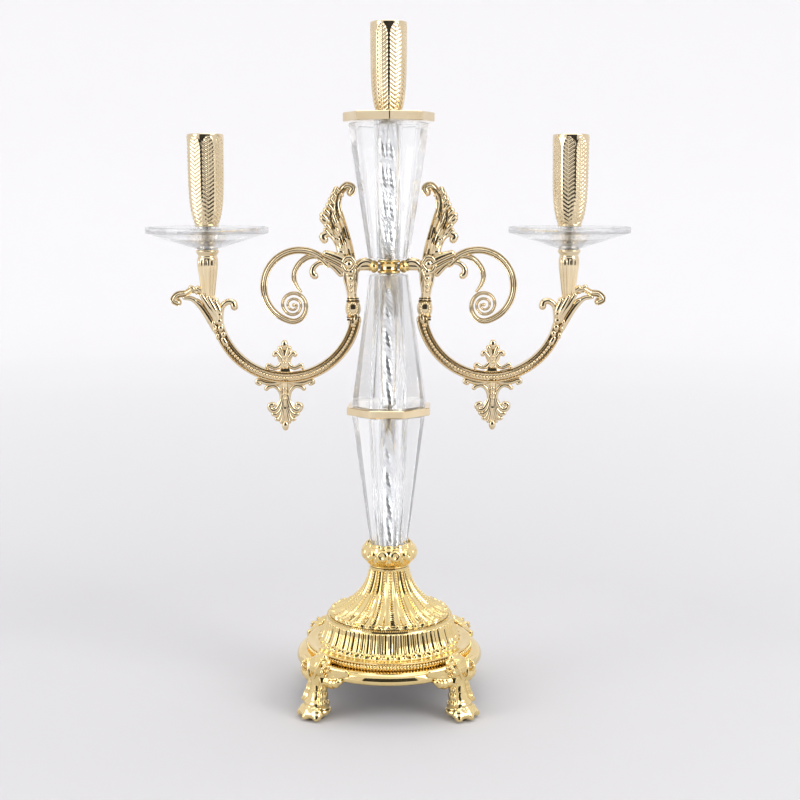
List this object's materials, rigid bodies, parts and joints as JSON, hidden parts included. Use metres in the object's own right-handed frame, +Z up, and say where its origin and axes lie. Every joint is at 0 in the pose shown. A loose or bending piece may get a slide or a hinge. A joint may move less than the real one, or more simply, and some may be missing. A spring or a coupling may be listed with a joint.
{
  "type": "tabletop candelabra",
  "caption": "Candelabra with a faceted crystal column, scrolled gold arms with glass drip dishes, and a round gadrooned base on paw feet.",
  "frame": {"origin": "on the column's axis at the height of the table", "axes": "+Z up the column, X along the two arms, -Y to the front"},
  "size_m": [0.385, 0.149, 0.5434],
  "materials": {
    "gold_pale": "polished pale champagne gold plating",
    "gold_rich": "polished yellow gold plating",
    "crystal": "clear, polished facets",
    "silver": "bright twisted tube",
    "steel": "zinc plated fastener",
    "iron": "rough cast",
    "rubber": "matt dark pad",
    "gasket": "clear soft washer"
  },
  "bodies": {
    "stand": {"base_bell": "gold_rich", "base_drum": "gold_rich", "base_plate": "steel", "base_weight": "iron", "foot_back_left": "gold_rich", "foot_back_right": "gold_rich", "foot_front_left": "gold_rich", "foot_front_right": "gold_rich", "foot_pad_back_left": "rubber", "foot_pad_back_right": "rubber", "foot_pad_front_left": "rubber", "foot_pad_front_right": "rubber", "foot_screw_back_left": "steel", "foot_screw_back_right": "steel", "foot_screw_front_left": "steel", "foot_screw_front_right": "steel", "gasket_lower_high": "gasket", "gasket_lower_low": "gasket", "gasket_middle_high": "gasket", "gasket_middle_low": "gasket", "gasket_upper_high": "gasket", "gasket_upper_low": "gasket", "glass_lower": "crystal", "glass_middle": "crystal", "glass_upper": "crystal", "mid_plate": "gold_pale", "neck_collar": "gold_rich", "rod_nut_bottom": "steel", "rod_nut_top": "steel", "rod_washer": "steel", "tie_rod": "steel", "top_plate": "gold_pale", "twist_sleeve_lower": "silver", "twist_sleeve_middle": "silver", "twist_sleeve_upper": "silver"},
    "arm_frame": {"arm_bolt_left": "steel", "arm_bolt_right": "steel", "arm_collar_left": "gold_rich", "arm_collar_right": "gold_rich", "arm_hub": "gold_pale", "arm_left": "gold_pale", "arm_right": "gold_pale", "cup_stud_left": "steel", "cup_stud_right": "steel", "dish_washer_left": "gasket", "dish_washer_right": "gasket"},
    "dish_left": {"drip_dish_left": "crystal"},
    "dish_right": {"drip_dish_right": "crystal"},
    "cup_left": {"candle_cup_left": "gold_pale"},
    "cup_right": {"candle_cup_right": "gold_pale"},
    "cup_center": {"candle_cup_center": "gold_pale"}
  },
  "joints": [
    {"name": "arm_swivel", "type": "hinge", "parent": "stand", "child": "arm_frame", "pos_m": [0, 0, 0.35385], "axis": [0, 0, 1], "continuous": true},
    {"name": "dish_left_lift", "type": "slide", "parent": "arm_frame", "child": "dish_left", "axis": [0, 0, 1], "range_m": [0, 0.03]},
    {"name": "dish_right_lift", "type": "slide", "parent": "arm_frame", "child": "dish_right", "axis": [0, 0, 1], "range_m": [0, 0.03]},
    {"name": "cup_left_lift", "type": "slide", "parent": "dish_left", "child": "cup_left", "axis": [0, 0, 1], "range_m": [0, 0.015]},
    {"name": "cup_right_lift", "type": "slide", "parent": "dish_right", "child": "cup_right", "axis": [0, 0, 1], "range_m": [0, 0.015]},
    {"name": "cup_center_lift", "type": "slide", "parent": "stand", "child": "cup_center", "axis": [0, 0, 1], "range_m": [0, 0.015]}
  ]
}
